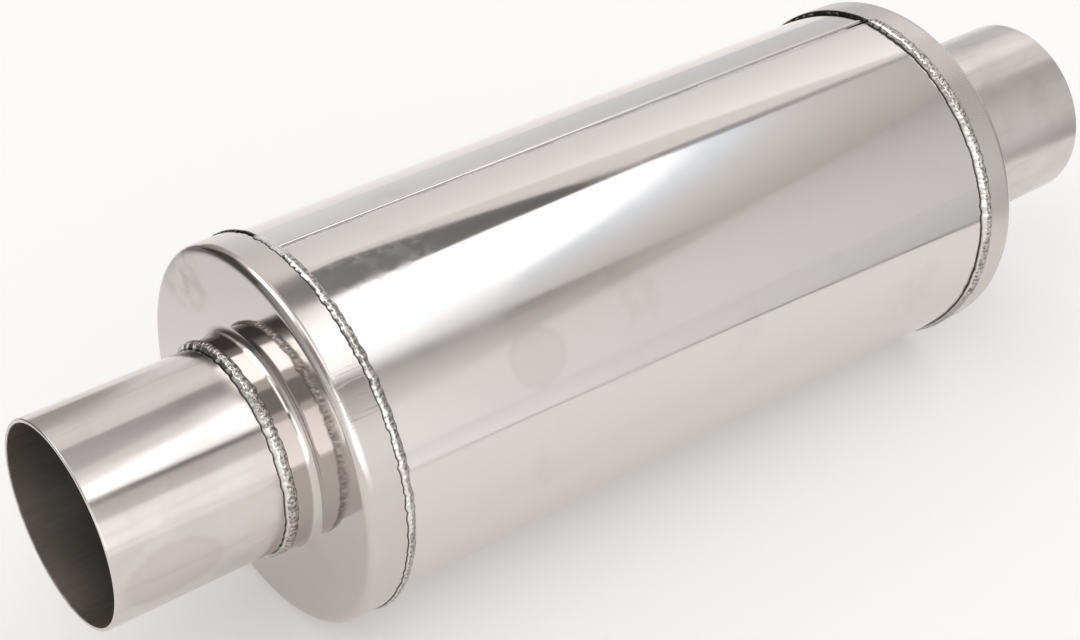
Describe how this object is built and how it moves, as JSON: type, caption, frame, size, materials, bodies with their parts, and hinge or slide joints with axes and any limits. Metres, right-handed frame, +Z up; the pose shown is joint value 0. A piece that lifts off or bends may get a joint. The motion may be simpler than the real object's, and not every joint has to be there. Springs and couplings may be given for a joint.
{
  "type": "rear muffler",
  "caption": "Round straight-through exhaust muffler: a polished can with welded end caps, a stub pipe at each end and a perforated core wrapped in sound-absorbing fill.",
  "frame": {"origin": "centre of the inlet stub pipe's mouth, on the common axis of both pipes", "axes": "+X along the axis from the inlet mouth to the outlet mouth, +Z up, with the can's seam weld near the top"},
  "size_m": [0.4657, 0.1436, 0.1436],
  "materials": {
    "polished_steel": "mirror-polished stainless steel, faintly warm",
    "satin_steel": "finely brushed stainless tube",
    "weld_metal": "rippled, bare weld metal",
    "core_steel": "mill finish, slotted",
    "steel_wool": "matted metal wool",
    "glass_fibre": "loose off-white fibre"
  },
  "bodies": {
    "root": {"stub_pipes": "satin_steel", "end_caps": "polished_steel", "shell": "polished_steel", "shell_seam_weld": "weld_metal", "neck_welds": "weld_metal", "cap_welds": "weld_metal", "perforated_core": "core_steel", "core_seam_weld": "weld_metal", "core_tack_welds": "weld_metal", "steel_wool_wrap": "steel_wool", "glass_fibre_packing": "glass_fibre"}
  },
  "joints": []
}
